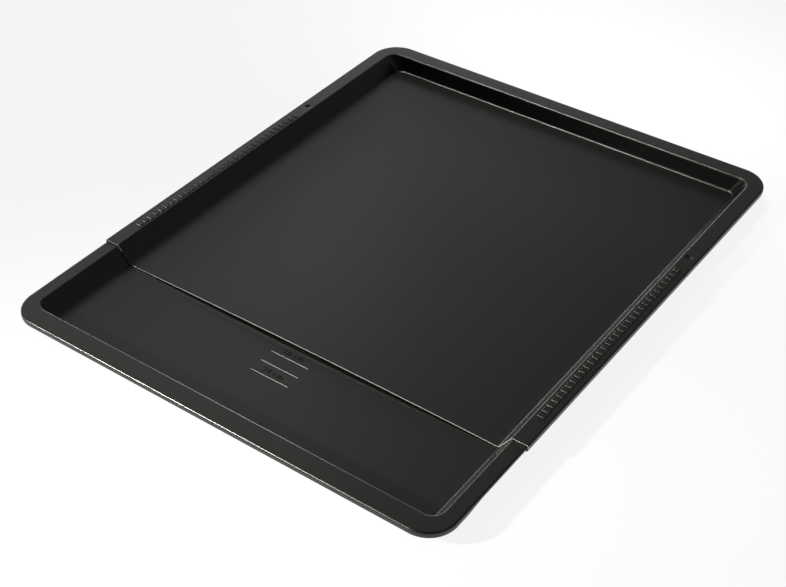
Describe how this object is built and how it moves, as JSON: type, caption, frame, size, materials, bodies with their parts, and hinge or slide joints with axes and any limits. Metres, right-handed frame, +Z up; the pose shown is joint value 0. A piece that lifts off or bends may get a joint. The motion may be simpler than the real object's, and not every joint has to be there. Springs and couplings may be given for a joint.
{
  "type": "extendable baking tray",
  "caption": "Extendable baking tray: a shallow rear pan whose folded side rims slide over a matching front pan, with ribs that set the length.",
  "frame": {"origin": "on the table under the middle of the tray's outline, as it is pulled out in the picture", "axes": "+Z up, +Y from the front pan to the rear pan along the pull-out direction, +X across the tray"},
  "size_m": [0.334, 0.412, 0.0142],
  "materials": {
    "coated_steel": "near-black satin non-stick coating with a fine fleck"
  },
  "bodies": {
    "front": {"front_pan": "coated_steel"},
    "rear": {"rear_pan": "coated_steel"}
  },
  "joints": [
    {"name": "pull_out", "type": "slide", "parent": "front", "child": "rear", "axis": [0, 1, 0], "range_m": [-0.0416, 0.1248]}
  ]
}
